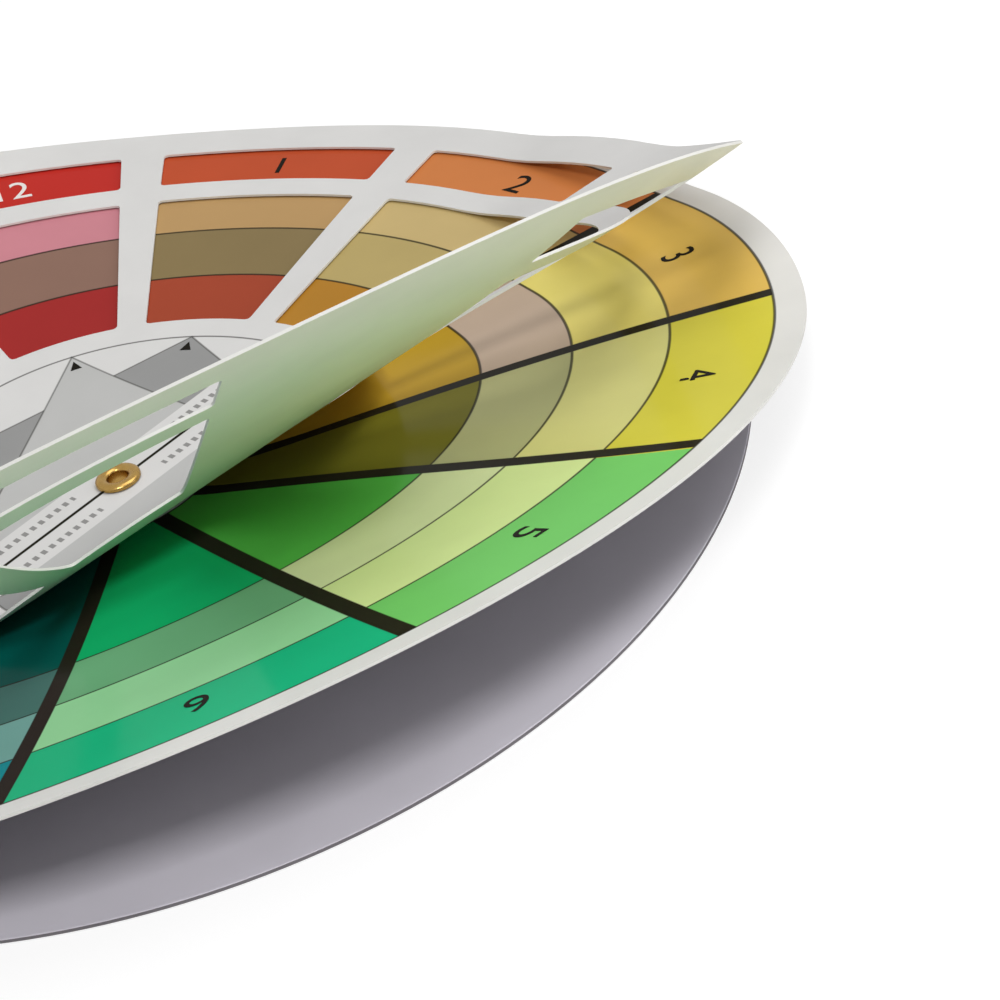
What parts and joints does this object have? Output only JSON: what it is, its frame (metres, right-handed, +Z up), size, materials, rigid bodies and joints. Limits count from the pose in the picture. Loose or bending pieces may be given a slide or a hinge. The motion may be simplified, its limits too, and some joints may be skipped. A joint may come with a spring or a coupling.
{
  "type": "color mixing wheel",
  "caption": "Card color mixing wheel: a flat back disc, a curled chart disc of printed hues and a curled mask disc with viewing windows, turning on one brass eyelet.",
  "frame": {"origin": "On the table plane, under the middle of the wheel's box; the eyelet's axis is within 2 mm of it.", "axes": "+Z is up, square to the flat back disc and along the eyelet; +X runs to the right and +Y away from a viewer who has the raised edge of the mask towards them."},
  "size_m": [0.2346, 0.2302, 0.0688],
  "materials": {
    "back_card": "uncoated card, smooth and matte",
    "chart_card": "coated card with glossy print",
    "mask_card": "coated white card with a soft gloss",
    "brass": "polished brass"
  },
  "bodies": {
    "back": {"back_disc": "back_card", "eyelet": "brass"},
    "chart": {"chart_disc": "chart_card"},
    "mask": {"mask_disc": "mask_card"}
  },
  "joints": [
    {"name": "chart_spin", "type": "hinge", "parent": "back", "child": "chart", "pos_m": [-0.00001, -0.00178, 0], "axis": [0, 0, 1], "continuous": true},
    {"name": "mask_spin", "type": "hinge", "parent": "chart", "child": "mask", "pos_m": [-0.00001, -0.00178, 0], "axis": [0, 0, 1], "continuous": true, "deforming": ["mask_disc"]}
  ]
}
